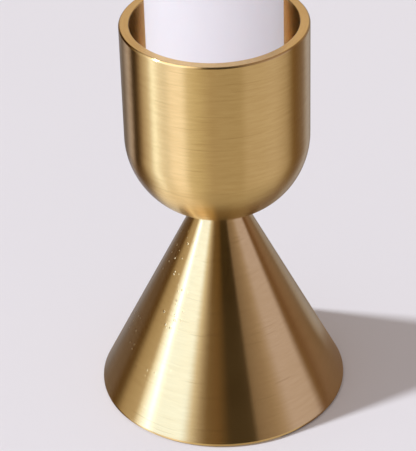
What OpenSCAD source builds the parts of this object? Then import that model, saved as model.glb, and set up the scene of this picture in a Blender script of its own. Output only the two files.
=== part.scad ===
// Pillar candle holder: a thick-walled round-bottomed cup bolted on a hollow cone,
// with a pillar candle standing in the cup. Millimetres, +Z up.
// The origin is the centre of the underside, where the felt pad rests on the table.

/* [Holder] */
// Height from the table to the rim of the cup
holder_h = 160; // [140:1:200]
// Height of the seam where the cup sits on the cone
seam_h = 82; // [76:1:90]

/* [Cup] */
// Outside diameter of the cup
cup_d = 70; // [68:0.5:76]
// Wall thickness of the cup
cup_wall = 3.9; // [3:0.1:4.4]
// Outside radius of the rounded bottom
cup_corner_r = 31.7; // [30:0.1:33]
// Broken outer edge of the rim
rim_outer_chamfer = 0.55; // [0.2:0.05:1]
// Broken inner edge of the rim
rim_inner_chamfer = 0.3; // [0.1:0.05:0.8]

/* [Cone] */
// Diameter of the foot of the cone
foot_d = 96.6; // [90:0.2:110]
// Diameter of the cone at the seam with the cup
neck_d = 18.2; // [17:0.2:22]
// Wall thickness of the cone, square to its surface
cone_wall = 3.5; // [2.5:0.1:4]
// Height above the table at which the upright foot land ends and the cone begins
foot_land_h = 1.5; // [1.2:0.1:3]
// Thickness of the solid plug at the top of the cone
plug_t = 14; // [12:0.5:16]

/* [Underside] */
// Thickness of the steel closing plate
plate_t = 2; // [1.5:0.1:3]
// Thickness of the felt pad
felt_t = 1.4; // [1.2:0.1:2]
// How far the felt stands proud of the metal foot
felt_proud = 0.4; // [0.2:0.1:0.8]

/* [Joint] */
// Thread diameter of the joining stud
thread_d = 8; // [6:1:8]
// Thread pitch of the joining stud
thread_pitch = 1.25; // [1:0.25:1.25]
// Depth to which the stud screws into the floor of the cup
stud_depth = 10; // [8:0.5:11]

/* [Candle] */
// Diameter of the pillar candle
candle_d = 50.5; // [48:0.5:51]
// Length of the pillar candle, without its wick
candle_h = 100; // [60:5:150]
// Diameter of the wick
wick_d = 2.4; // [2:0.1:3]
// Length of wick above the wax
wick_free_h = 9; // [5:0.5:12]

/* [Hidden] */

$fn = 96;
far = 300; // longer than any part, for cutting shapes
over = 1; // how far a cutting shape runs past the solid that it cuts
brass = "#c39a55";
steel = "#a9adb1";
wax = "#f0eef4";

// Cup: the bottom is a quarter circle whose centre is just off the axis.
cup_r = cup_d / 2;
bore_r = cup_r - cup_wall;
arc_x = cup_r - cup_corner_r;
arc_z = seam_h + sqrt(pow(cup_corner_r, 2) - pow(neck_d / 2 - arc_x, 2));
bore_arc_r = cup_corner_r - cup_wall;

// The flat floor is as wide as the candle, so that the round wall centres it.
floor_clearance = 0.05;
arc_fn = 180;
floor_r = candle_d / 2 + floor_clearance;
floor_z = arc_z - sqrt(pow(bore_arc_r, 2) - pow(floor_r - arc_x, 2));

// Cone
foot_r = foot_d / 2;
neck_r = neck_d / 2;
foot_chamfer = 0.5;
cone_slope = (foot_r - neck_r) / (seam_h - foot_land_h);
wall_across = cone_wall * sqrt(1 + pow(cone_slope, 2));
plug_z = seam_h - plug_t;
function cone_r(z) = foot_r - cone_slope * (z - foot_land_h);

// Underside: the plate lies against a shoulder inside the foot.
shoulder_z = felt_t + plate_t;
cavity_r = cone_r(shoulder_z) - wall_across;
shoulder_w = 1.4;
plate_gap = 0.1;
plate_r = cavity_r + shoulder_w;
felt_inset = 1.3;
edge_break = 0.3;

// Stud, washers and nut, in M8 proportions
thread_r = thread_d / 2;
thread_gap = 0.05; // between the stud's crests and the holes it screws into
thread_crest_r = thread_r - thread_gap;
thread_depth = 0.6 * thread_pitch;
hole_r = thread_r + 0.2;
washer_r = thread_d;
washer_t = 0.2 * thread_d;
lock_washer_r = 0.9 * thread_d;
lock_washer_t = 0.25 * thread_d;
lock_split = 1.2;
lock_slant = 18;
nut_t = 0.8 * thread_d;
nut_flats = 1.625 * thread_d;
nut_r = nut_flats / sqrt(3);
nut_corner_chamfer = nut_r - nut_flats / 2;
nut_z = plug_z - washer_t - lock_washer_t - nut_t;
stud_end = 2.5; // length of stud that shows below the nut
stud_z = nut_z - stud_end;
stud_len = seam_h + stud_depth - thread_gap - stud_z;
stud_turns = floor(stud_len / thread_pitch);
drill_tip = 2; // run-out of the drill beyond the thread

// Candle
wax_r = candle_d / 2;
wax_foot_chamfer = 1;
wax_top_round = 2.5;
wick_r = wick_d / 2;
wick_fn = 48;
wick_foot = 2; // the wick stops this far above the candle's underside

// Half outline of a disc or ring with broken edges, for rotate_extrude.
module ring_outline(r_in, r_out, t, chamfer) {
    polygon([
        [r_in, 0], [r_out - chamfer, 0], [r_out, chamfer],
        [r_out, t - chamfer], [r_out - chamfer, t], [r_in, t]
    ]);
}

// Half outline of a round-bottomed body of this radius, from its flat floor upwards.
module bowl_outline(r, arc_r, from_z, to_z) {
    intersection() {
        union() {
            translate([arc_x, arc_z]) circle(r = arc_r, $fn = arc_fn);
            translate([0, arc_z - arc_r]) square([arc_x, arc_r]);
            translate([0, arc_z]) square([r, far]);
        }
        translate([0, from_z]) square([r, to_z - from_z]);
    }
}

// Turned cup with a flat rim, a flat floor for the candle and a tapped blind hole below it.
module cup() {
    color(brass) difference() {
        rotate_extrude() difference() {
            bowl_outline(cup_r, cup_corner_r, seam_h, holder_h);
            bowl_outline(bore_r, bore_arc_r, floor_z, far);
            translate([cup_r, holder_h]) rotate(45)
                square(rim_outer_chamfer * sqrt(2), center = true);
            translate([bore_r, holder_h]) rotate(45)
                square(rim_inner_chamfer * sqrt(2), center = true);
        }
        translate([0, 0, seam_h - over]) cylinder(r = thread_r, h = stud_depth + over);
        translate([0, 0, seam_h + stud_depth])
            cylinder(r1 = thread_r, r2 = 0, h = drill_tip);
    }
}

// Hollow cone with an upright land at its foot and a solid plug at its top.
module cone_base() {
    color(brass) difference() {
        rotate_extrude() polygon([
            [plate_r, felt_proud],
            [foot_r - foot_chamfer, felt_proud],
            [foot_r, felt_proud + foot_chamfer],
            [foot_r, foot_land_h],
            [neck_r, seam_h],
            [0, seam_h],
            [0, plug_z],
            [cone_r(plug_z) - wall_across, plug_z],
            [cavity_r, shoulder_z],
            [plate_r, shoulder_z]
        ]);
        translate([0, 0, plug_z - over]) cylinder(r = hole_r, h = plug_t + 2 * over);
    }
}

// Fully threaded stud, with a ring groove for each turn of its thread.
module joining_stud() {
    color(steel) translate([0, 0, stud_z]) difference() {
        cylinder(r = thread_crest_r, h = stud_len);
        for (turn = [0 : stud_turns])
            translate([0, 0, turn * thread_pitch]) rotate_extrude() polygon([
                [thread_crest_r - thread_depth, 0],
                [thread_crest_r + over, -thread_depth],
                [thread_crest_r + over, thread_depth]
            ]);
    }
}

// Plain washer under the plug of the cone.
module flat_washer() {
    color(steel) translate([0, 0, plug_z - washer_t])
        rotate_extrude() ring_outline(hole_r, washer_r, washer_t, edge_break);
}

// Split spring washer between the plain washer and the nut.
module lock_washer() {
    color(steel) translate([0, 0, plug_z - washer_t - lock_washer_t]) difference() {
        rotate_extrude() translate([hole_r, 0])
            square([lock_washer_r - hole_r, lock_washer_t]);
        rotate([lock_slant, 0, 0]) translate([0, -lock_split / 2, -lock_washer_t])
            cube([lock_washer_r + over, lock_split, 4 * lock_washer_t]);
    }
}

// Hexagon nut with chamfered corners.
module hex_nut() {
    color(steel) translate([0, 0, nut_z]) difference() {
        intersection() {
            cylinder(r = nut_r, h = nut_t, $fn = 6);
            rotate_extrude() ring_outline(0, nut_r, nut_t, nut_corner_chamfer);
        }
        translate([0, 0, -over]) cylinder(r = thread_r, h = nut_t + 2 * over);
    }
}

// Steel disc that closes the foot, lying against the shoulder inside it.
module base_plate() {
    color(steel) translate([0, 0, felt_t])
        rotate_extrude() ring_outline(0, plate_r - plate_gap, plate_t, edge_break);
}

// Felt disc glued under the plate: the face that rests on the table.
module felt_pad() {
    color("#26231f") cylinder(r = plate_r - felt_inset, h = felt_t);
}

// Pillar of wax with a broken foot and a rounded top edge.
module candle_wax() {
    color(wax) translate([0, 0, floor_z]) difference() {
        rotate_extrude() difference() {
            square([wax_r, candle_h]);
            translate([wax_r, 0]) rotate(45) square(wax_foot_chamfer * sqrt(2), center = true);
            translate([wax_r - wax_top_round, candle_h - wax_top_round]) difference() {
                square(wax_top_round + over);
                circle(r = wax_top_round);
            }
        }
        translate([0, 0, wick_foot]) cylinder(r = wick_r, h = candle_h, $fn = wick_fn);
    }
}

// Cotton wick through the wax, standing free at the top.
module wick() {
    color("ivory") translate([0, 0, floor_z + wick_foot])
        cylinder(r = wick_r, h = candle_h - wick_foot + wick_free_h, $fn = wick_fn);
}

cup();
cone_base();
joining_stud();
flat_washer();
lock_washer();
hex_nut();
base_plate();
felt_pad();
candle_wax();
wick();
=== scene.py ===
"""The looks of a brushed brass pillar candle holder and its candle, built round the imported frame.

Metres, +Z up, with the turned outlines in millimetres. The holder's axis is Z, and its felt pad
rests on z = 0. Angles are in degrees, and an azimuth is counted from the front (-Y) towards the
right (+X).
"""

import math
from collections import namedtuple

import bpy
from mathutils import Matrix, Vector, noise

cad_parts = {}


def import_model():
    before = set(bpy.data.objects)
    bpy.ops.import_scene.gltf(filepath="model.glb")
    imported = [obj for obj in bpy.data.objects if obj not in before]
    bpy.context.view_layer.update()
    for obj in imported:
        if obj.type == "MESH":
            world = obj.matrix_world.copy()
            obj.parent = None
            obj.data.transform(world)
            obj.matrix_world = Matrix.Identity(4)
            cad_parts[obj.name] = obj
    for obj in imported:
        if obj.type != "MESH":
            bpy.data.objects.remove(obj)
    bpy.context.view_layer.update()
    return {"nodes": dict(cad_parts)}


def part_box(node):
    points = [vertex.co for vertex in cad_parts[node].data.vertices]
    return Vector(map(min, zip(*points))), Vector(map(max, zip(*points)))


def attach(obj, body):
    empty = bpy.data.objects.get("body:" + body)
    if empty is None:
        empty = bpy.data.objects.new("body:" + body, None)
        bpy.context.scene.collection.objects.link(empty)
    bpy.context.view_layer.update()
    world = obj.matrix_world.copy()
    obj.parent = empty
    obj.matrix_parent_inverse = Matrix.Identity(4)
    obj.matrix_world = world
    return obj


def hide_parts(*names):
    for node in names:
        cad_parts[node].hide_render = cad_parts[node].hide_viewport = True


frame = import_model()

MM = 0.001

# The turned outlines, as in the CAD model, in millimetres.
SEAM_H, RIM_H = 82.0, 160.0
CUP_R, BORE_R, CORNER_R = 35.0, 31.1, 31.7
FLOOR_R = 25.3
CONE_TOP_R, FOOT_R, FOOT_LAND_H = 9.1, 48.3, 1.5
CONE_WALL, PLUG_T = 3.5, 14.0
FELT_PROUD, PLATE_TOP, PLATE_LEDGE = 0.4, 3.4, 1.4
TAPPED_R, TAPPED_DEPTH, DRILL_TIP = 4.0, 10.0, 2.0
CLEAR_R = 4.2
THREAD_R, THREAD_PITCH, THREAD_DEPTH = 3.95, 1.25, 0.72

# The cup's rounded bottom, inside and outside, has its centre just off the axis.
CORNER_X = CUP_R - CORNER_R
CORNER_Z = SEAM_H + math.sqrt(CORNER_R**2 - (CONE_TOP_R - CORNER_X) ** 2)
BORE_CORNER_R = CORNER_R - (CUP_R - BORE_R)
FLOOR_Z = CORNER_Z - math.sqrt(BORE_CORNER_R**2 - (FLOOR_R - CORNER_X) ** 2)

TURN_STEPS = 256


# ---------------------------------------------------------------- outlines and turned meshes

def arc(centre_r, centre_z, radius, start, end, steps):
    """Points of an arc in the (radius, height) plane, from angle start to angle end."""
    points = []
    for i in range(steps + 1):
        a = math.radians(start + (end - start) * i / steps)
        points.append((centre_r + radius * math.cos(a), centre_z + radius * math.sin(a)))
    return points


def chamfer(r, z, width, inward):
    """A 45 degree chamfer on an upper corner, its two corners softened. An inward one goes up
    from the bore to the rim, and the other down from the rim to the outside."""
    soft = 0.2 * width
    bend, sag = 0.3 * soft, 0.15 * soft
    reach = soft * math.sqrt(0.5)
    points = [
        (width + soft, 0.0), (width + bend, sag), (width - reach, reach),
        (reach, width - reach), (sag, width + bend), (0.0, width + soft),
    ]
    if inward:
        return [(r + across, z - down) for across, down in reversed(points)]
    return [(r - across, z - down) for across, down in points]


def supported(points, margin=0.12):
    """The outline with an extra point close to each end of its long straight stretches,
    so that smooth shading stays flat along them."""
    result = []
    for (r, z), (next_r, next_z) in zip(points, points[1:]):
        result.append((r, z))
        length = math.hypot(next_r - r, next_z - z)
        if length > 4 * margin:
            share = margin / length
            for t in (share, 1 - share):
                result.append((r + (next_r - r) * t, z + (next_z - z) * t))
    return result + points[-1:]


def turned(name, outline, closed=False, steps=TURN_STEPS):
    """A mesh turned about Z from an outline of (radius, height) points in millimetres. A closed
    outline is a ring's section; an open one starts and ends on the axis."""
    vertices, rings = [], []
    for r, z in outline:
        if r < 1e-6:
            rings.append([len(vertices)] * steps)
            vertices.append((0.0, 0.0, z * MM))
            continue
        rings.append(list(range(len(vertices), len(vertices) + steps)))
        for i in range(steps):
            a = 2 * math.pi * i / steps
            vertices.append((r * MM * math.cos(a), r * MM * math.sin(a), z * MM))
    faces = []
    following = rings[1:] + rings[:1] if closed else rings[1:]
    for low, high in zip(rings, following):
        for i in range(steps):
            j = (i + 1) % steps
            corners = []
            for v in (low[i], low[j], high[j], high[i]):
                if v not in corners:
                    corners.append(v)
            faces.append(corners)
    return mesh_piece(name, vertices, faces)


def winding(name, node, step, sides, shape_at):
    """A rod in the place of a node. Its shape is the radius and the shift aside that shape_at
    gives for an angle, a height above the rod's foot and the rod's length."""
    low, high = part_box(node)
    bottom, length = low.z / MM, (high.z - low.z) / MM
    rings = round(length / step)
    vertices = [(0.0, 0.0, low.z)]
    for i in range(rings + 1):
        up = length * i / rings
        for k in range(sides):
            angle = 2 * math.pi * k / sides
            radius, aside = shape_at(angle, up, length)
            x, y = radius * math.cos(angle) + aside, radius * math.sin(angle)
            vertices.append((x * MM, y * MM, (bottom + up) * MM))
    tip = vertices[-sides:]
    vertices.append((sum(v[0] for v in tip) / sides, sum(v[1] for v in tip) / sides, high.z))
    last = len(vertices) - 1
    faces = []
    for k in range(sides):
        j = (k + 1) % sides
        faces.append((0, 1 + j, 1 + k))
        faces.append((last, last - sides + k, last - sides + j))
        for i in range(rings):
            row, above = 1 + i * sides, 1 + (i + 1) * sides
            faces.append((row + k, row + j, above + j, above + k))
    return mesh_piece(name, vertices, faces)


def mesh_piece(name, vertices, faces):
    """A smooth-shaded object with these vertices and faces, its faces turned outwards."""
    mesh = bpy.data.meshes.new(name)
    mesh.from_pydata(vertices, [], faces)
    mesh.validate()
    piece = bpy.data.objects.new(name, mesh)
    bpy.context.scene.collection.objects.link(piece)
    bpy.context.view_layer.objects.active = piece
    piece.select_set(True)
    bpy.ops.object.mode_set(mode="EDIT")
    bpy.ops.mesh.select_all(action="SELECT")
    bpy.ops.mesh.normals_make_consistent(inside=False)
    bpy.ops.object.mode_set(mode="OBJECT")
    piece.select_set(False)
    for polygon in mesh.polygons:
        polygon.use_smooth = True
    return piece


def finish_piece(piece, material, body, slot, *nodes):
    """Gives a piece its material and its body, and hides the CAD nodes that it stands for. Its slot
    is not used.
    """
    piece.data.materials.append(material)
    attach(piece, body)
    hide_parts(*nodes)


# ---------------------------------------------------------------- shader helpers

# Where a point is on a turned piece: its radius, its height, and the cosine and sine of its angle.
Around = namedtuple("Around", "radius height cosine sine")


def add(tree, kind, *values, **settings):
    """A new node. The values go to its inputs in order, as numbers or links; None skips one."""
    node = tree.nodes.new(kind)
    for name, value in settings.items():
        setattr(node, name, value)
    for socket, value in zip(node.inputs, values):
        if isinstance(value, bpy.types.NodeSocket):
            tree.links.new(value, socket)
        elif value is not None:
            socket.default_value = value
    return node


def maths(tree, operation, *values):
    """The result of a Math node."""
    return add(tree, "ShaderNodeMath", *values, operation=operation).outputs[0]


def vector_maths(tree, operation, *values):
    """The resulting vector of a Vector Math node."""
    return add(tree, "ShaderNodeVectorMath", *values, operation=operation).outputs[0]


def total(tree, first, *others):
    """The sum of the values."""
    for other in others:
        first = maths(tree, "ADD", first, other)
    return first


def product(tree, first, *others):
    """The product of the values."""
    for other in others:
        first = maths(tree, "MULTIPLY", first, other)
    return first


def scaled(tree, value, low, high):
    """A 0 to 1 value moved to the range low to high."""
    return add(tree, "ShaderNodeMapRange", value, 0.0, 1.0, low, high).outputs[0]


def stretched(tree, value, start, end):
    """A soft step of a value: 0 up to start and 1 from end on. An end below the start turns the
    step round."""
    node = add(tree, "ShaderNodeMapRange", value, start, end, interpolation_type="SMOOTHSTEP")
    return node.outputs[0]


def between(tree, value, rise, fall):
    """1 between two soft steps of a value, each given by its start and end, and 0 outside."""
    return product(tree, stretched(tree, value, *rise), stretched(tree, value, *fall))


def multiplied(tree, vector, factor):
    """A vector or colour times a value."""
    node = add(tree, "ShaderNodeVectorMath", vector, operation="SCALE")
    tree.links.new(factor, node.inputs["Scale"])
    return node.outputs[0]


def mixed(tree, factor, first, second):
    """A colour between two colours, each a link or (red, green, blue)."""
    node = add(tree, "ShaderNodeMix", data_type="RGBA")
    sockets = {socket.identifier: socket for socket in node.inputs}
    tree.links.new(factor, sockets["Factor_Float"])
    for key, colour in (("A_Color", first), ("B_Color", second)):
        if isinstance(colour, bpy.types.NodeSocket):
            tree.links.new(colour, sockets[key])
        else:
            sockets[key].default_value = (*colour, 1.0)
    return next(socket for socket in node.outputs if socket.identifier == "Result_Color")


def texture(tree, vector, scale, detail=2.0, roughness=0.5, distortion=0.0):
    """3-D noise at this scale, per metre."""
    node = add(tree, "ShaderNodeTexNoise", vector, None, scale, detail, roughness)
    node.inputs["Distortion"].default_value = distortion
    return node.outputs[0]


def principled(name, **inputs):
    """A material with a Principled shader: (its node tree, its shader, its object coordinates).
    The inputs are plain values."""
    material = bpy.data.materials.new(name)
    material.use_nodes = True
    tree = material.node_tree
    shader = tree.nodes["Principled BSDF"]
    for key, value in inputs.items():
        shader.inputs[key.replace("_", " ")].default_value = value
    place = add(tree, "ShaderNodeTexCoord").outputs["Object"]
    return material, tree, shader, place


def link(tree, shader, **sockets):
    """Links values to inputs of the shader."""
    for key, socket in sockets.items():
        tree.links.new(socket, shader.inputs[key.replace("_", " ")])


def bump(tree, shader, *layers, start=None):
    """Stacks bump layers, each (height socket, depth in millimetres, strength), on a shader."""
    normal = start
    for height, depth, strength in layers:
        node = add(tree, "ShaderNodeBump")
        node.inputs["Strength"].default_value = strength
        node.inputs["Distance"].default_value = depth * MM
        tree.links.new(height, node.inputs["Height"])
        if normal is not None:
            tree.links.new(normal, node.inputs["Normal"])
        normal = node.outputs["Normal"]
    tree.links.new(normal, shader.inputs["Normal"])


def turned_coordinates(tree, place):
    """Where a place is on a turned piece."""
    x, y, z = add(tree, "ShaderNodeSeparateXYZ", place).outputs
    flat = add(tree, "ShaderNodeCombineXYZ", x, y, 0.0).outputs[0]
    radius = add(tree, "ShaderNodeVectorMath", flat, operation="LENGTH").outputs["Value"]
    safe = maths(tree, "MAXIMUM", radius, 1e-6)
    return Around(radius, z, maths(tree, "DIVIDE", x, safe), maths(tree, "DIVIDE", y, safe))


def lathe_lines(tree, around, width, wander, detail=2.0):
    """Noise drawn out round the axis: width is a line's width in millimetres, and wander how
    often the lines change on the way round."""
    per_metre = 1 / (width * MM)
    vector = add(
        tree, "ShaderNodeCombineXYZ",
        product(tree, around.radius, per_metre),
        product(tree, around.height, per_metre),
        product(tree, around.cosine, wander),
    ).outputs[0]
    return add(
        tree, "ShaderNodeTexNoise", vector, product(tree, around.sine, wander), 1.0, detail, 0.6,
        noise_dimensions="4D",
    ).outputs[0]


def calmed(tree, value, share):
    """A 0 to 1 noise with only a share of its swing about the middle."""
    swing = maths(tree, "SUBTRACT", value, 0.5)
    return total(tree, product(tree, swing, share), 0.5)


def leaning_normal(tree, tangent, lean):
    """The surface's normal, leaned along the brush lines by a small value."""
    normal = add(tree, "ShaderNodeNewGeometry").outputs["Normal"]
    both = vector_maths(tree, "ADD", normal, multiplied(tree, tangent, lean))
    return vector_maths(tree, "NORMALIZE", both)


# ---------------------------------------------------------------- materials

BRASS, BRASS_DEEP = (0.84, 0.60, 0.29), (0.79, 0.55, 0.255)
# The lighter fleck tint is a painted glint, for flecks on the lit side of the cone.
BRASS_FLECK_GLINT, BRASS_STAIN = (0.93, 0.73, 0.42), (0.52, 0.32, 0.12)
BRASS_ROUGHNESS = 0.205
ZINC, ZINC_BLOOM = (0.58, 0.60, 0.64), (0.66, 0.63, 0.55)
SHEET, SHEET_STAIN = (0.46, 0.46, 0.47), (0.30, 0.29, 0.28)
FELT_DARK, FELT_PALE = (0.018, 0.017, 0.016), (0.055, 0.052, 0.048)
WAX, WAX_CLOUD = (0.84, 0.84, 0.90), (0.88, 0.885, 0.93)
COTTON_DEEP, COTTON = (0.80, 0.77, 0.69), (0.90, 0.88, 0.82)


def long_scratches(tree, around):
    """A few long scratches round the brass, with more of them low on the cup."""
    scratches = lathe_lines(tree, around, width=0.7, wander=1.5, detail=1.0)
    low_on_cup = between(tree, around.height, rise=(0.097, 0.101), fall=(0.110, 0.105))
    more = scaled(tree, low_on_cup, 0.0, 0.05)
    return stretched(tree, total(tree, scratches, more), 0.66, 0.72)


def raised_flecks(tree, place, around, patches):
    """Small raised flecks, in patches on the front left of the cone, the side that the light falls
    on; the lighter colour that they are given is a painted glint.
    """
    dots = add(tree, "ShaderNodeTexVoronoi", place, None, 420.0).outputs["Distance"]
    left = stretched(tree, around.cosine, -0.45, -0.70)
    front = stretched(tree, around.sine, 0.35, 0.05)
    on_cone = between(tree, around.height, rise=(0.014, 0.036), fall=(0.076, 0.064))
    patch = stretched(tree, patches, 0.49, 0.57)
    return product(tree, stretched(tree, dots, 0.24, 0.12), left, front, on_cone, patch)


def brushed_brass():
    """Brass brushed on a lathe: smooth round the axis and rough along the outline, so that each
    reflection is drawn out into a streak square to the brush lines. Each line leans a little to
    one side, which frays the streaks' edges. The cone's finish is finer than the cup's."""
    material, tree, shader, place = principled(
        "brushed_brass", Metallic=1.0, Anisotropic=1.0, Anisotropic_Rotation=0.25, IOR=1.5,
    )
    tangent = add(tree, "ShaderNodeTangent", direction_type="RADIAL", axis="Z").outputs[0]
    around = turned_coordinates(tree, place)
    on_cup = stretched(tree, around.height, (SEAM_H - 1) * MM, (SEAM_H + 1) * MM)
    strength = scaled(tree, on_cup, 0.55, 1.0)
    fine = calmed(tree, lathe_lines(tree, around, width=0.4, wander=9.0), strength)
    lines = calmed(tree, lathe_lines(tree, around, width=1.0, wander=4.0, detail=3.0), strength)
    patches = texture(tree, place, 45.0, 3.0)
    scratch = long_scratches(tree, around)
    fleck = raised_flecks(tree, place, around, patches)

    colour = mixed(tree, stretched(tree, lines, 0.3, 0.7), BRASS, BRASS_DEEP)
    colour = mixed(tree, product(tree, scratch, 0.28), colour, BRASS_STAIN)
    # Painted glint: the flecks on the lit front left are tinted lighter.
    colour = mixed(tree, fleck, colour, BRASS_FLECK_GLINT)
    roughness = total(
        tree, scaled(tree, lines, -0.015, 0.015), scaled(tree, patches, -0.03, 0.03),
        product(tree, fleck, 0.2), BRASS_ROUGHNESS,
    )
    link(tree, shader, Tangent=tangent, Base_Color=colour, Roughness=roughness)

    lean = product(tree, maths(tree, "SUBTRACT", fine, 0.5), 0.035)
    bump(
        tree, shader,
        (lines, 0.02, 0.2), (fine, 0.016, 0.3), (scratch, 0.02, 0.25), (fleck, 0.3, 0.5),
        start=leaning_normal(tree, tangent, lean),
    )
    return material


def zinc_steel():
    """Bright zinc plate with a faint bluish and yellowish bloom."""
    material, tree, shader, place = principled("zinc_steel", Metallic=1.0)
    bloom = texture(tree, place, 260.0, 3.0)
    grain = texture(tree, place, 4200.0)
    colour = mixed(tree, bloom, ZINC, ZINC_BLOOM)
    link(tree, shader, Base_Color=colour, Roughness=scaled(tree, grain, 0.25, 0.42))
    bump(tree, shader, (grain, 0.01, 0.4))
    return material


def plate_steel():
    """Cold-rolled sheet, oiled and a little stained."""
    material, tree, shader, place = principled("plate_steel", Metallic=1.0)
    stain = texture(tree, place, 70.0, 4.0, 0.65)
    grain = texture(tree, place, 2600.0)
    colour = mixed(tree, stain, SHEET, SHEET_STAIN)
    link(tree, shader, Base_Color=colour, Roughness=scaled(tree, stain, 0.36, 0.55))
    bump(tree, shader, (grain, 0.02, 0.5))
    return material


def felt():
    """Pressed wool felt: matted fibres in two sizes."""
    material, tree, shader, place = principled(
        "felt", Roughness=0.95, Sheen_Weight=0.35, Sheen_Roughness=0.5,
    )
    fibres = texture(tree, place, 3500.0, 4.0, 0.7, distortion=1.5)
    tufts = texture(tree, place, 600.0, 3.0)
    link(tree, shader, Base_Color=mixed(tree, fibres, FELT_DARK, FELT_PALE))
    bump(tree, shader, (tufts, 0.25, 0.6), (fibres, 0.1, 0.9))
    return material


def wax():
    """Matt paraffin wax, which light passes deep into."""
    material, tree, shader, place = principled(
        "wax", Subsurface_Weight=1.0, Subsurface_Radius=(1.0, 0.9, 0.9), Subsurface_Scale=0.025,
        IOR=1.44,
    )
    clouds = texture(tree, place, 60.0, 4.0, 0.6)
    grain = texture(tree, place, 1500.0, 3.0)
    colour = mixed(tree, clouds, WAX, WAX_CLOUD)
    link(tree, shader, Base_Color=colour, Roughness=scaled(tree, grain, 0.5, 0.7))
    bump(tree, shader, (clouds, 0.2, 0.3), (grain, 0.03, 0.3))
    return material


def cotton():
    """Bleached cotton yarn."""
    material, tree, shader, place = principled("cotton", Roughness=0.9)
    fibres = texture(tree, place, 5000.0, 3.0, 0.7)
    link(tree, shader, Base_Color=mixed(tree, fibres, COTTON_DEEP, COTTON))
    bump(tree, shader, (fibres, 0.06, 0.7))
    return material


def plain(name, roughness, first, second):
    """A matt surface with faint clouds of a second colour."""
    material, tree, shader, place = principled(name, Roughness=roughness)
    link(tree, shader, Base_Color=mixed(tree, texture(tree, place, 3.0), first, second))
    return material


# ---------------------------------------------------------------- pieces

def cup_outline():
    """From the floor's centre, up the bore, over the rim, down the outside and into the hole."""
    rim_outer_edge, rim_inner_edge = 0.55, 0.3
    seam_angle = math.degrees(math.acos((CONE_TOP_R - CORNER_X) / CORNER_R))
    floor_angle = math.degrees(math.acos((FLOOR_R - CORNER_X) / BORE_CORNER_R))
    tapped_top = SEAM_H + TAPPED_DEPTH
    outline = [(0, FLOOR_Z)]
    outline += arc(CORNER_X, CORNER_Z, BORE_CORNER_R, -floor_angle, 0, steps=16)
    outline += chamfer(BORE_R, RIM_H, rim_inner_edge, inward=True)
    outline += chamfer(CUP_R, RIM_H, rim_outer_edge, inward=False)
    outline += arc(CORNER_X, CORNER_Z, CORNER_R, 0, -seam_angle, steps=40)
    outline += [(TAPPED_R, SEAM_H), (TAPPED_R, tapped_top), (0, tapped_top + DRILL_TIP)]
    return supported(outline)


def cone_outline():
    """Round the cone's wall: up the outside, across the top, down the hole and the cavity."""
    slope = (FOOT_R - CONE_TOP_R) / (SEAM_H - FOOT_LAND_H)
    wall_across = CONE_WALL * math.hypot(1, slope)
    plug_z = SEAM_H - PLUG_T

    def inner_r(z):
        return FOOT_R - slope * (z - FOOT_LAND_H) - wall_across

    ledge_r = inner_r(PLATE_TOP)
    recess_r = ledge_r + PLATE_LEDGE
    foot_edge, land_drop = 0.45, 0.1
    neck_edge, neck_slant = 0.25, 0.12
    tilt = math.degrees(math.atan(slope))
    outline = arc(FOOT_R - foot_edge, FELT_PROUD + foot_edge, foot_edge, -90, 0, steps=5)
    outline += arc(FOOT_R - foot_edge, FOOT_LAND_H - land_drop, foot_edge, 0, tilt, steps=3)
    outline += [(CONE_TOP_R + neck_slant, SEAM_H - neck_edge), (CONE_TOP_R - neck_edge, SEAM_H)]
    outline += [(CLEAR_R, SEAM_H), (CLEAR_R, plug_z), (inner_r(plug_z), plug_z)]
    outline += [(ledge_r, PLATE_TOP), (recess_r, PLATE_TOP), (recess_r, FELT_PROUD)]
    return supported(outline + outline[:1])[:-1]


def candle_outline():
    """From the underside's centre, up the side and over the shoulder to the dished top, then up
    a little collar of wax and down beside the wick."""
    low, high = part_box("candle_wax")
    radius, bottom, top = high.x / MM, low.z / MM, high.z / MM
    foot_edge, shoulder = 0.9, 2.4
    dish, dish_edge = 0.3, 0.1
    wick_r, wick_depth, collar = 0.9, 0.6, 1.3
    outline = [(0, bottom)]
    outline += arc(radius - foot_edge, bottom + foot_edge, foot_edge, -90, 0, steps=5)
    outline += arc(radius - shoulder, top - shoulder, shoulder, 0, 90, steps=10)
    outline += [(radius * 0.6, top - dish_edge), (radius * 0.3, top - dish)]
    outline += arc(wick_r + collar + 0.1, top + 0.5, collar, -100, -175, steps=6)
    outline += [(wick_r, top - wick_depth), (0, top - wick_depth)]
    return supported(outline)


def make_cup(material):
    """The cup lets the dome's light through to the candle, which stays pale down to the rim."""
    piece = turned("cup_turned", cup_outline())
    piece.visible_diffuse = False
    finish_piece(piece, material, "holder", "brushed_brass", "cup")


def make_cone(material):
    """The cone is a ring's section, because its hole and its cavity go right through."""
    piece = turned("cone_turned", cone_outline(), closed=True)
    finish_piece(piece, material, "holder", "brushed_brass", "cone_base")


def make_candle(material):
    """A pillar of wax with a rounded shoulder and a slightly dished top."""
    piece = turned("candle_pillar", candle_outline(), steps=160)
    finish_piece(piece, material, "candle", "wax", "candle_wax")
    return piece


def make_wick(material):
    """Three plied strands, leaning a little at the top."""
    free_length, lay, lean = 9.0, 5.5, 1.0
    core, strand, fuzz = 0.80, 0.32, 0.05
    blunt_length, blunt_share = 0.6, 0.45

    def shape_at(angle, up, length):
        lobe = abs(math.cos(1.5 * (angle - 2 * math.pi * up / lay)))
        fibre = fuzz * noise.noise((3 * math.cos(angle), 3 * math.sin(angle), up * 2.5))
        end = min(1.0, max(0.0, length - up) / blunt_length)
        taper = 1 - blunt_share + blunt_share * math.sqrt(end)
        above_wax = max(0.0, 1 - (length - up) / free_length)
        return (core + strand * lobe**0.8 + fibre) * taper, lean * above_wax**2

    piece = winding("wick_plied", "wick", 0.25, 36, shape_at)
    finish_piece(piece, material, "candle", "cotton", "wick")
    return piece


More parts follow.
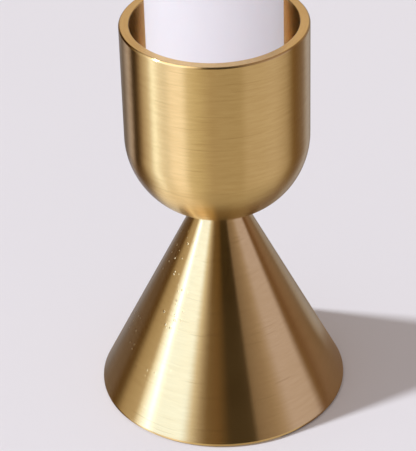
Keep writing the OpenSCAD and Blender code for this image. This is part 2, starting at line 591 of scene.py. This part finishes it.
def make_stud(material):
    """A threaded rod with a true helix and a lead-in at each end."""
    lead_in, root_share, crest_share = 1.0, 0.12, 0.10

    def shape_at(angle, up, length):
        turn = (up / THREAD_PITCH - angle / (2 * math.pi)) % 1.0
        rise = (abs(2 * turn - 1) - root_share) / (1 - root_share - crest_share)
        cut = THREAD_DEPTH * (1 - min(1.0, max(0.0, rise)))
        end = max(0.0, lead_in - min(up, length - up))
        return THREAD_R - max(cut, end * THREAD_DEPTH / lead_in), 0.0

    piece = winding("stud_threaded", "joining_stud", THREAD_PITCH / 12, 48, shape_at)
    finish_piece(piece, material, "holder", "zinc_steel", "joining_stud")


def make_felt(material):
    """A disc punched from felt: its cut edge is uneven, and its underside slightly matted."""
    low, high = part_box("felt_pad")
    slack = 0.2
    radius, top = high.x / MM - slack, high.z / MM
    edge, spacing = 0.35, 1.6
    cut_waves, mat_depth = 0.003, 0.07
    outline = [(spacing * i, 0) for i in range(int((radius - edge) / spacing))]
    outline += arc(radius - edge, edge, edge, -90, 0, steps=4)
    outline += arc(radius - edge, top - edge, edge, 0, 90, steps=4)
    outline += [(0, top)]
    piece = turned("felt_disc", outline)
    for vertex in piece.data.vertices:
        x, y, z = vertex.co
        if math.hypot(x, y) > (radius - 1) * MM:
            vertex.co.xy *= 1 + cut_waves * noise.noise(Vector((x, y, z)) / (3 * MM))
        if z < 0.5 * edge * MM:
            tuft = max(0.0, noise.noise(Vector((x, y, 0)) / (2.2 * MM)))
            vertex.co.z += mat_depth * MM * tuft
    finish_piece(piece, material, "holder", "felt", "felt_pad")


def dress(name, material):
    """Gives a CAD node that keeps its own mesh a material."""
    node = frame["nodes"][name]
    node.data.materials.clear()
    node.data.materials.append(material)


# ---------------------------------------------------------------- lamps and camera

KEY_AZIMUTH, KEY_ELEVATION = -82.8, 35.0


def direction(azimuth, elevation):
    """The unit vector that points that way."""
    a, e = math.radians(azimuth), math.radians(elevation)
    return Vector((math.sin(a) * math.cos(e), -math.cos(a) * math.cos(e), math.sin(e)))


def camera():
    """A long lens above the front, a little turned and rolled."""
    data = bpy.data.cameras.new("camera")
    data.sensor_width = 36.0
    data.lens = 172.2
    data.clip_end = 50.0
    place = Vector((0.0, -0.6952, 0.5304))
    forward = direction(azimuth=180.37, elevation=-33.461)
    roll = math.radians(-1.725)
    level_right = forward.cross(Vector((0, 0, 1))).normalized()
    level_up = level_right.cross(forward)
    right = level_right * math.cos(roll) + level_up * math.sin(roll)
    up = level_up * math.cos(roll) - level_right * math.sin(roll)
    matrix = Matrix((right, up, -forward)).transposed().to_4x4()
    matrix.translation = place
    view = bpy.data.objects.new("camera", data)
    view.matrix_world = matrix
    bpy.context.scene.collection.objects.link(view)
    bpy.context.scene.camera = view


def sun(name, azimuth, elevation, spread, energy, colour):
    """A far lamp in that direction, as wide as its spread."""
    data = bpy.data.lights.new(name, "SUN")
    data.energy = energy
    data.angle = math.radians(spread)
    data.color = colour
    lamp = bpy.data.objects.new(name, data)
    lamp.rotation_euler = direction(azimuth, elevation).to_track_quat("Z", "Y").to_euler()
    bpy.context.scene.collection.objects.link(lamp)
    return lamp


def only_for(lamp, pieces, state):
    """Makes a lamp light only these pieces, or with EXCLUDE, all but these."""
    group = bpy.data.collections.new(lamp.name + "_pieces")
    for piece in pieces:
        group.objects.link(piece)
    for link_to_piece in group.collection_objects:
        link_to_piece.light_linking.link_state = state
    lamp.light_linking.receiver_collection = group
    return group


def key_lights(candle):
    """Light from the left, low enough to throw the shadow to the right. The metal gets a weaker
    lamp of its own beside it, so its streak stays narrow and soft."""
    low = sun("key", KEY_AZIMUTH, KEY_ELEVATION, spread=5.0, energy=3.2, colour=(0.89, 0.92, 1.0))
    low.visible_glossy = False
    only_for(low, candle, "EXCLUDE")
    streak = sun(
        "key_streak", KEY_AZIMUTH + 4.0, KEY_ELEVATION, spread=4.0, energy=0.8,
        colour=(0.85, 1.0, 1.3),
    )
    streak.visible_diffuse = False


def candle_lights(candle):
    """Two wide soft lamps, from the front left and the back left, that only the candle gets and
    only the candle blocks."""
    for name, azimuth, elevation, energy, colour in (
        ("candle_key", -50.0, 40.0, 1.45, (0.95, 0.95, 1.0)),
        ("candle_back", -125.0, 45.0, 0.35, (1.0, 0.96, 0.97)),
    ):
        lamp = sun(name, azimuth, elevation, spread=90.0, energy=energy, colour=colour)
        lamp.visible_glossy = False
        lamp.light_linking.blocker_collection = only_for(lamp, candle, "INCLUDE")


# ---------------------------------------------------------------- what the brass reflects

# The room is a few levels, each a ring of (azimuth, colour) stops, with soft steps between.
BLACK, GREY, WHITE = (0.0, 0.0, 0.0), (0.5, 0.5, 0.5), (1.0, 1.0, 1.0)
BLACK_SHADE = (0.02, 0.01, 0.0)

# The walls, from the window on the left to the doorway on the right.
WINDOW = (1.13, 1.62, 2.62)
CURTAIN = (0.46, 0.40, 0.30)
LILAC_WALL = (0.58, 0.55, 0.76)
DIM_WALL = (0.30, 0.24, 0.22)
BACK_WALL = (0.34, 0.32, 0.33)
FAR_WALL = (0.55, 0.53, 0.55)
DOORWAY = (0.16, 0.09, 0.06)
ROOM = (
    (-180, FAR_WALL), (-163, (0.50, 0.48, 0.50)), (-148, (0.22, 0.17, 0.14)), (-138, BLACK_SHADE),
    (-120, (0.03, 0.01, 0.0)), (-113, (0.17, 0.10, 0.03)), (-103, CURTAIN), (-86, CURTAIN),
    (-81, (1.05, 1.20, 1.45)), (-77, WINDOW), (-39, WINDOW), (-31, (0.72, 0.76, 0.82)),
    (-24, (0.37, 0.33, 0.29)), (-17, (0.19, 0.13, 0.07)), (-6, (0.17, 0.10, 0.04)),
    (5, BLACK_SHADE), (26, BLACK_SHADE), (30, (0.24, 0.19, 0.17)), (46, (0.33, 0.27, 0.25)),
    (54, (0.42, 0.36, 0.37)), (64, LILAC_WALL), (90, LILAC_WALL), (98, DOORWAY), (103, DOORWAY),
    (113, (0.27, 0.19, 0.17)), (134, DIM_WALL), (152, BACK_WALL), (180, FAR_WALL),
)

# The table, out to where the walls begin.
SUN_PATCH = (1.55, 1.85, 2.20)
LIT_TABLE = (0.85, 0.84, 0.82)
NEAR_TABLE = (1.15, 1.13, 1.14)
FRONT_TABLE = (0.53, 0.47, 0.36)
RIGHT_TABLE = (0.61, 0.56, 0.48)
BACK_TABLE = (0.23, 0.24, 0.30)
TABLE = (
    (-180, BACK_TABLE), (-162, (0.24, 0.24, 0.26)), (-147, (0.12, 0.09, 0.06)),
    (-139, (0.40, 0.38, 0.43)), (-128, (0.70, 0.68, 0.77)), (-124, (0.54, 0.45, 0.43)),
    (-121, BLACK), (-109, BLACK), (-106, (0.17, 0.09, 0.04)), (-100, (0.52, 0.46, 0.38)),
    (-86, (0.86, 0.86, 0.86)), (-82, SUN_PATCH), (-80, SUN_PATCH), (-76, LIT_TABLE),
    (-64, LIT_TABLE), (-56, NEAR_TABLE), (-43, NEAR_TABLE), (-35, (0.76, 0.73, 0.60)),
    (-22, (0.68, 0.64, 0.50)), (-6, FRONT_TABLE), (30, FRONT_TABLE), (38, RIGHT_TABLE),
    (75, RIGHT_TABLE), (91, (0.52, 0.46, 0.37)), (98, (0.38, 0.32, 0.22)),
    (106, (0.17, 0.10, 0.03)), (126, (0.19, 0.14, 0.10)), (133, (0.23, 0.17, 0.13)),
    (140, (0.50, 0.50, 0.57)), (150, (0.48, 0.49, 0.55)), (168, (0.18, 0.15, 0.12)),
    (180, BACK_TABLE),
)

# The table nearer the foot, which differs from it at the back left.
NEAR_SHADE = (0.13, 0.08, 0.04)
NEAR = (
    (-180, (0.34, 0.34, 0.40)), (-168, (0.44, 0.47, 0.60)), (-153, (0.36, 0.38, 0.50)),
    (-145, (0.24, 0.20, 0.18)), (-136, NEAR_SHADE), (-113, NEAR_SHADE), (-107, (0.26, 0.19, 0.09)),
) + tuple(stop for stop in TABLE if stop[0] > -104)

# The table close to the foot, seen from straight above.
UNDER_LEFT = (0.93, 0.88, 0.80)
UNDER_RIGHT = (0.26, 0.22, 0.15)
UNDER_FRONT = (0.46, 0.41, 0.31)
UNDER = (
    (-180, UNDER_RIGHT), (-150, (0.52, 0.50, 0.48)), (-125, UNDER_LEFT), (-60, UNDER_LEFT),
    (-38, (0.66, 0.60, 0.46)), (-20, UNDER_FRONT), (75, UNDER_FRONT), (115, UNDER_RIGHT),
    (180, UNDER_RIGHT),
)

# The tops of the walls and the window, and then the ceiling.
UPPER_BACK = (0.72, 0.58, 0.41)
UPPER_WINDOW = (1.8, 1.8, 1.8)
UPPER = (
    (-180, UPPER_BACK), (-162, UPPER_BACK), (-142, (0.04, 0.02, 0.01)), (-112, (0.06, 0.03, 0.01)),
    (-88, UPPER_WINDOW), (-45, UPPER_WINDOW), (-22, (0.20, 0.16, 0.12)), (-16, BLACK_SHADE),
    (22, BLACK_SHADE), (56, (0.30, 0.24, 0.22)), (84, (0.38, 0.30, 0.28)),
    (122, (0.17, 0.11, 0.05)), (152, UPPER_BACK), (180, UPPER_BACK),
)
CEILING = (0.42, 0.42, 0.43)

# Two bands across the levels: a bluish shine on the table at the back, and above it a dark shade
# at the back left and the back right. Their rings say how strong they are.
BACK_SHINE = (0.34, 0.36, 0.46)
SHINING = (
    (-180, GREY), (-165, WHITE), (-155, WHITE), (-146, GREY), (-136, BLACK), (165, BLACK),
    (180, GREY),
)
SHADE = (0.12, 0.075, 0.035)
SHADED = (
    (-180, BLACK), (-157, BLACK), (-145, GREY), (-134, WHITE), (-113, WHITE), (-108, BLACK),
    (122, BLACK), (132, GREY), (148, GREY), (160, BLACK), (180, BLACK),
)

# The soft steps from level to level, and below and above each band, in degrees of elevation.
LEVELS = ((NEAR, (-57, -45)), (TABLE, (-37, -31)), (ROOM, (-17, 0)))
BANDS = ((BACK_SHINE, SHINING, (-29, -26), (-20, -10)), (SHADE, SHADED, (-27, -15), (-4, 6)))
UPPER_STEP, CEILING_STEP = (18, 32), (72, 82)

# How much is left of the table, but for its left side, in the metal's reflection of itself.
TWICE_REFLECTED = 0.45

# What lights the table and the candle: a dome that is brighter towards the front.
DOME, FRONT_LIGHT = (0.42, 0.37, 0.35), (0.62, 0.56, 0.57)
FRONT_AZIMUTH, FRONT_ELEVATION = -12.0, 12.0

# What the camera sees beyond the table.
BACKDROP = (0.80, 0.79, 0.81)


def ring(tree, azimuth, stops):
    """The colour of a ring at an azimuth that runs from 0, at -180 degrees, to 1, at 180."""
    node = add(tree, "ShaderNodeValToRGB", azimuth)
    ramp = node.color_ramp
    ramp.interpolation = "LINEAR"
    while len(ramp.elements) < len(stops):
        ramp.elements.new(1.0)
    for element, (angle, colour) in zip(ramp.elements, stops):
        element.position = (angle + 180) / 360
        element.color = (*colour, 1.0)
    return node.outputs[0]


def above(tree, height, low, high):
    """0 below the elevation low, 1 above high, and a soft step between."""
    return stretched(tree, height, math.sin(math.radians(low)), math.sin(math.radians(high)))


def inside(tree, height, bottom, top):
    """1 between two soft steps, each given by its two elevations, and 0 outside."""
    below_top = maths(tree, "SUBTRACT", 1.0, above(tree, height, *top))
    return product(tree, above(tree, height, *bottom), below_top)


def room(tree, azimuth, height):
    """The colour that the metal reflects from an azimuth and a height. The height is the sine of
    the elevation, and each level is laid over the ones below it."""
    colour = ring(tree, azimuth, UNDER)
    for stops, step in LEVELS:
        colour = mixed(tree, above(tree, height, *step), colour, ring(tree, azimuth, stops))
    for shade, stops, bottom, top in BANDS:
        strength = product(tree, ring(tree, azimuth, stops), inside(tree, height, bottom, top))
        colour = mixed(tree, strength, colour, shade)
    colour = mixed(tree, above(tree, height, *UPPER_STEP), colour, ring(tree, azimuth, UPPER))
    return mixed(tree, above(tree, height, *CEILING_STEP), colour, CEILING)


def dimmed_twice(tree, rays, aside, height, colour):
    """The colour, darker where a ray that the metal has reflected twice goes down, anywhere but
    to the left: it stands for the foot's shadow and its dark side."""
    twice = maths(tree, "GREATER_THAN", rays["Glossy Depth"], 1.5)
    down = maths(tree, "LESS_THAN", height, 0.0)
    not_left = stretched(tree, aside, -0.30, -0.05)
    share = scaled(tree, product(tree, twice, down, not_left), 1.0, TWICE_REFLECTED)
    return multiplied(tree, colour, share)


def dome(tree, place):
    """The soft light on everything but the metal, brighter towards the front."""
    front = add(tree, "ShaderNodeVectorMath", place, operation="DOT_PRODUCT")
    front.inputs[1].default_value = direction(FRONT_AZIMUTH, FRONT_ELEVATION)
    facing = maths(tree, "MAXIMUM", front.outputs["Value"], 0.0)
    return mixed(tree, maths(tree, "POWER", facing, 2.0), DOME, FRONT_LIGHT)


def world():
    """A room with a bright window on the left, which only the metal reflects, a soft dome that
    lights everything else, and a plain backdrop for the camera."""
    studio = bpy.data.worlds.new("studio")
    bpy.context.scene.world = studio
    studio.use_nodes = True
    studio.cycles.sampling_method = "NONE"
    tree = studio.node_tree
    place = add(tree, "ShaderNodeTexCoord").outputs["Generated"]
    rays = add(tree, "ShaderNodeLightPath").outputs
    x, y, z = add(tree, "ShaderNodeSeparateXYZ", place).outputs
    turn = maths(tree, "ARCTAN2", x, product(tree, y, -1.0))
    azimuth = total(tree, maths(tree, "DIVIDE", turn, 2 * math.pi), 0.5)
    reflected = dimmed_twice(tree, rays, x, z, room(tree, azimuth, z))
    unscattered = maths(tree, "LESS_THAN", rays["Diffuse Depth"], 0.5)
    from_metal = product(tree, rays["Is Glossy Ray"], unscattered)
    light = mixed(tree, from_metal, dome(tree, place), reflected)
    seen = mixed(tree, rays["Is Camera Ray"], light, BACKDROP)
    tree.links.new(seen, tree.nodes["Background"].inputs["Color"])


# ---------------------------------------------------------------- table

def flat_piece(name, corners, material):
    """A flat four-cornered piece."""
    mesh = bpy.data.meshes.new(name)
    mesh.from_pydata(corners, [], [(0, 1, 2, 3)])
    mesh.materials.append(material)
    piece = bpy.data.objects.new(name, mesh)
    bpy.context.scene.collection.objects.link(piece)
    return piece


def floor():
    """A plain pale table top, left out of the reflections, where the world stands for it."""
    half = 1.5
    corners = [(-half, -half, 0), (half, -half, 0), (half, half, 0), (-half, half, 0)]
    pale = plain("table_top", 0.7, (0.80, 0.79, 0.81), (0.83, 0.82, 0.84))
    top = flat_piece("table_top", corners, pale)
    top.visible_glossy = False


def reflected_shadow():
    """The cone's shadow on the table, as the brass sees it: it darkens the low right flank. The
    card runs from beside the foot, where it is half_foot wide each way, to the tip's shadow."""
    start, half_foot, lift = 16, 45.5, 0.3
    along = direction(KEY_AZIMUTH + 180, 0)
    across = Vector((0, 0, 1)).cross(along)
    tip = SEAM_H / math.tan(math.radians(KEY_ELEVATION))
    corners = []
    for far, aside in (
        (start, -half_foot), (tip, -CONE_TOP_R), (tip, CONE_TOP_R), (start, half_foot),
    ):
        corners.append((along * far + across * aside + Vector((0, 0, lift))) * MM)
    shade = plain("shadow_card", 0.9, (0.42, 0.34, 0.30), (0.44, 0.36, 0.32))
    card = flat_piece("shadow_card", corners, shade)
    card.visible_camera = False
    card.visible_diffuse = False
    card.visible_shadow = False


# ---------------------------------------------------------------- everything together

camera()
world()
floor()
reflected_shadow()
bpy.context.scene.view_settings.view_transform = "Standard"

brass, zinc = brushed_brass(), zinc_steel()
make_cup(brass)
make_cone(brass)
make_stud(zinc)
make_felt(felt())
candle_pieces = [make_candle(wax()), make_wick(cotton())]
key_lights(candle_pieces)
candle_lights(candle_pieces)
for name in ("flat_washer", "lock_washer", "hex_nut"):
    dress(name, zinc)
dress("base_plate", plate_steel())
